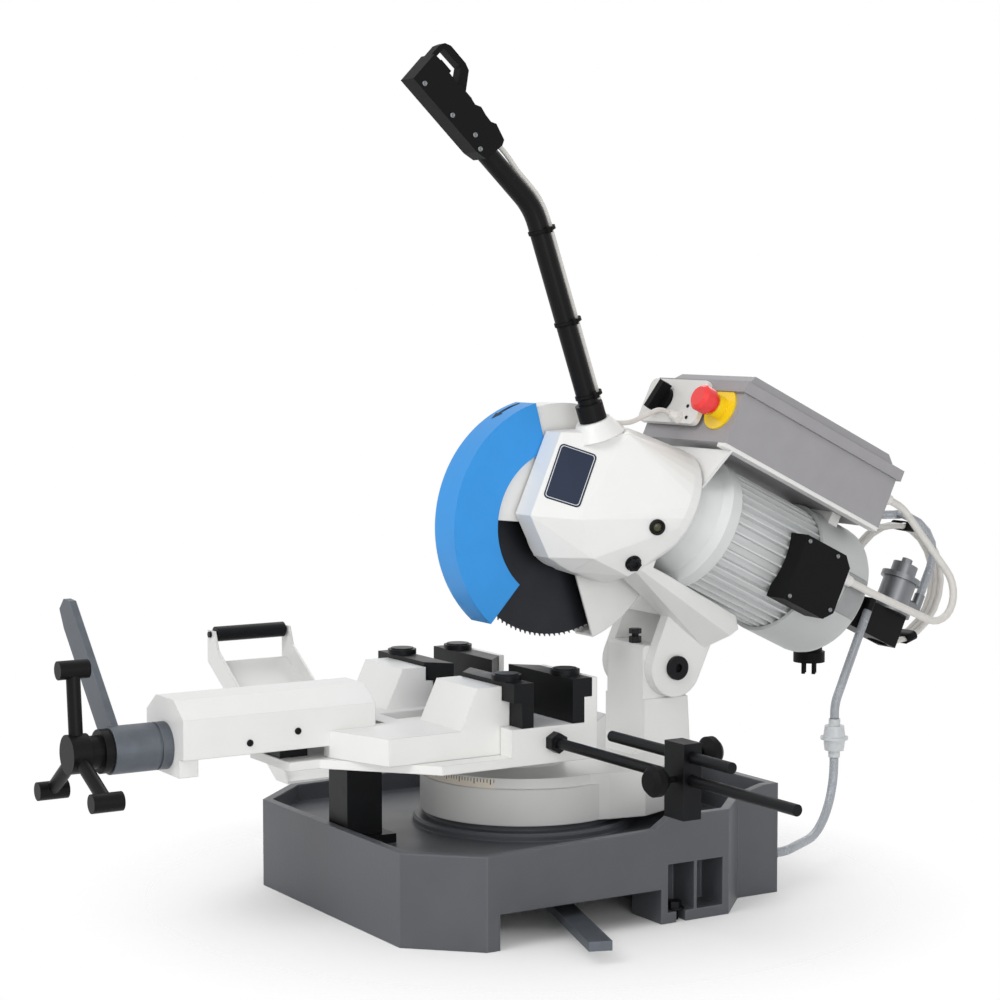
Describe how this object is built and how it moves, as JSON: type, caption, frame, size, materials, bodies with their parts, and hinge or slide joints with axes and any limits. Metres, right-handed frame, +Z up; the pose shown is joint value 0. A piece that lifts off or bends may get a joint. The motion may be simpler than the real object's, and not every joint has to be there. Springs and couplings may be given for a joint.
{
  "type": "cold saw",
  "caption": "Pull-down cold saw: worm-driven circular blade on a tilting motor head over a mitre turret, with screw vise, length stop, roller and coolant pump.",
  "frame": {"origin": "on the floor plane under the mitre axis, centre of the four stand bolts", "axes": "+Z up, -Y towards the operator and the vise handwheel, +Y towards the motor, +X towards the length stop"},
  "size_m": [1.5025, 1.4157, 1.1441],
  "materials": {
    "cast_grey": "satin dark grey paint on a casting",
    "white_paint": "satin off-white paint on castings and sheet",
    "blue_paint": "satin blue paint on sheet",
    "grey_paint": "satin grey paint on pressed sheet",
    "black_paint": "satin black paint",
    "black_steel": "blackened steel",
    "blade_steel": "dark oxide coated tool steel",
    "lever_steel": "grey oxidised steel",
    "bright_steel": "turned bright steel",
    "aluminium": "cast aluminium",
    "bronze": "machined bronze",
    "scale_strip": "matte cream strip with fine black division lines",
    "grey_plastic": "fine-grained grey moulding",
    "white_plastic": "satin white moulding",
    "black_plastic": "fine-grained black moulding",
    "yellow_plastic": "gloss yellow moulding",
    "red_plastic": "gloss red moulding",
    "clear_plastic": "milky translucent moulding",
    "cable": "matte grey cable sheath",
    "hose": "smoky translucent hose"
  },
  "bodies": {
    "stand": {"base": "cast_grey", "levelling_bolts": "black_steel", "vise_bed": "white_paint", "bed_support": "black_steel", "vise_nut": "black_steel", "stop_rod": "black_steel", "roller_arm": "white_paint", "return_hose": "hose"},
    "jaw_fixed_left": {"fixed_jaw_left": "black_steel"},
    "jaw_fixed_right": {"fixed_jaw_right": "black_steel"},
    "jaw_moving_left": {"movable_jaw_left": "black_steel"},
    "jaw_moving_right": {"movable_jaw_right": "black_steel"},
    "far_roller": {"roller": "black_steel"},
    "turret": {"swivel_arm": "white_paint", "mitre_scale": "scale_strip", "depth_stop": "black_steel", "hinge_pin": "black_steel", "inline_filter": "clear_plastic"},
    "lock_lever": {"mitre_lock_lever": "lever_steel"},
    "head": {"gearbox_housing": "white_paint", "fixed_guard": "white_paint", "lever_tube": "black_paint", "handle_grip": "black_plastic", "motor_bell": "aluminium", "motor_frame": "aluminium", "fan_cover": "grey_paint", "terminal_box": "black_plastic", "bearings": "bright_steel", "control_box": "grey_plastic", "control_lid": "grey_plastic", "box_bracket": "white_paint", "switch_plate": "white_plastic", "estop_collar": "yellow_plastic", "coolant_pump": "bright_steel", "pump_bracket": "black_paint", "cable_glands": "white_plastic", "control_cable": "cable", "motor_cable": "cable", "supply_cable": "cable", "supply_plug": "black_plastic", "delivery_hose": "hose", "suction_hose": "hose"},
    "motor_drive": {"worm_shaft": "bright_steel", "motor_rotor": "lever_steel", "cooling_fan": "black_plastic"},
    "blade_unit": {"blade": "blade_steel", "spindle": "bright_steel", "worm_wheel": "bronze", "blade_flange": "black_steel"},
    "guard": {"swing_guard": "blue_paint"},
    "run_trigger": {"trigger": "black_plastic"},
    "speed_selector": {"selector_knob": "black_plastic"},
    "emergency_stop": {"estop_button": "red_plastic"},
    "vise_slide": {"vise_arm": "white_paint"},
    "quick_clamp": {"clamp_lever": "lever_steel"},
    "vise_wheel": {"handwheel": "black_paint"},
    "stop_slide": {"stop_block": "black_steel"},
    "stop_rod_slide": {"stop_finger": "black_steel"},
    "stop_clamp_front": {"stop_knob_front": "black_plastic"},
    "stop_clamp_rear": {"stop_knob_rear": "black_plastic"}
  },
  "joints": [
    {"name": "mitre_swivel", "type": "hinge", "parent": "stand", "child": "turret", "pos_m": [0, 0, 0.115], "axis": [0, 0, 1], "range_deg": [-45, 45], "deforming": ["return_hose"]},
    {"name": "mitre_lock", "type": "hinge", "parent": "stand", "child": "lock_lever", "pos_m": [0, 0, 0.03], "axis": [0, 0, 1], "range_deg": [-12, 20]},
    {"name": "head_tilt", "type": "hinge", "parent": "turret", "child": "head", "pos_m": [0, 0.217, 0.298], "axis": [1, 0, 0], "range_deg": [0, 30], "deforming": ["suction_hose"]},
    {"name": "motor_spin", "type": "hinge", "parent": "head", "child": "motor_drive", "pos_m": [0.07, 0.08359, 0.57453], "axis": [0, 0.903, -0.4297], "continuous": true},
    {"name": "blade_spin", "type": "hinge", "parent": "head", "child": "blade_unit", "pos_m": [0, 0.0505, 0.505], "axis": [1, 0, 0], "continuous": true},
    {"name": "guard_swing", "type": "hinge", "parent": "head", "child": "guard", "pos_m": [0, 0.0505, 0.505], "axis": [1, 0, 0], "range_deg": [-61, 0]},
    {"name": "run_trigger", "type": "slide", "parent": "head", "child": "run_trigger", "axis": [0, -0.6909, -0.723], "range_m": [0, 0.006], "stiffness_N_per_m": 400},
    {"name": "speed_selector", "type": "hinge", "parent": "head", "child": "speed_selector", "pos_m": [0.012, 0.2306, 0.67401], "axis": [0, 0.903, -0.4297], "range_deg": [-45, 45]},
    {"name": "emergency_stop", "type": "slide", "parent": "head", "child": "emergency_stop", "axis": [0, 0.903, -0.4297], "range_m": [0, 0.007], "stiffness_N_per_m": 800},
    {"name": "vise_feed", "type": "hinge", "parent": "vise_slide", "child": "vise_wheel", "pos_m": [0, -0.6, 0.25], "axis": [0, 1, 0], "range_deg": [-3610, 1810]},
    {"name": "vise_travel", "type": "slide", "parent": "stand", "child": "vise_slide", "axis": [0, -1, 0], "range_m": [-0.03, 0.06]},
    {"name": "quick_clamp", "type": "hinge", "parent": "vise_slide", "child": "quick_clamp", "pos_m": [0, -0.57, 0.25], "axis": [0, 1, 0], "range_deg": [-25, 60]},
    {"name": "fixed_jaw_left_slide", "type": "slide", "parent": "stand", "child": "jaw_fixed_left", "axis": [-1, 0, 0], "range_m": [0, 0.03]},
    {"name": "fixed_jaw_right_slide", "type": "slide", "parent": "stand", "child": "jaw_fixed_right", "axis": [1, 0, 0], "range_m": [0, 0.03]},
    {"name": "moving_jaw_left_slide", "type": "slide", "parent": "vise_slide", "child": "jaw_moving_left", "axis": [-1, 0, 0], "range_m": [0, 0.03]},
    {"name": "moving_jaw_right_slide", "type": "slide", "parent": "vise_slide", "child": "jaw_moving_right", "axis": [1, 0, 0], "range_m": [0, 0.03]},
    {"name": "roller_spin", "type": "hinge", "parent": "stand", "child": "far_roller", "pos_m": [-0.8, -0.034, 0.268], "axis": [0, 1, 0], "continuous": true},
    {"name": "stop_travel", "type": "slide", "parent": "stand", "child": "stop_slide", "axis": [-1, 0, 0], "range_m": [-0.18, 0.12]},
    {"name": "stop_finger_travel", "type": "slide", "parent": "stop_slide", "child": "stop_rod_slide", "axis": [-1, 0, 0], "range_m": [-0.08, 0.08]},
    {"name": "stop_knob_front_turn", "type": "hinge", "parent": "stop_slide", "child": "stop_clamp_front", "pos_m": [0.47, -0.09, 0.238], "axis": [0, -1, 0], "range_deg": [-360, 0]},
    {"name": "stop_knob_rear_turn", "type": "hinge", "parent": "stop_slide", "child": "stop_clamp_rear", "pos_m": [0.47, -0.04, 0.266], "axis": [0, 1, 0], "range_deg": [-360, 0]}
  ],
  "couplings": [
    {"joint": "blade_spin", "follows": "motor_spin", "ratio": 0.033333},
    {"joint": "guard_swing", "follows": "head_tilt", "ratio": -2},
    {"joint": "vise_feed", "follows": "vise_travel", "rad_per_m": -1047.2}
  ]
}
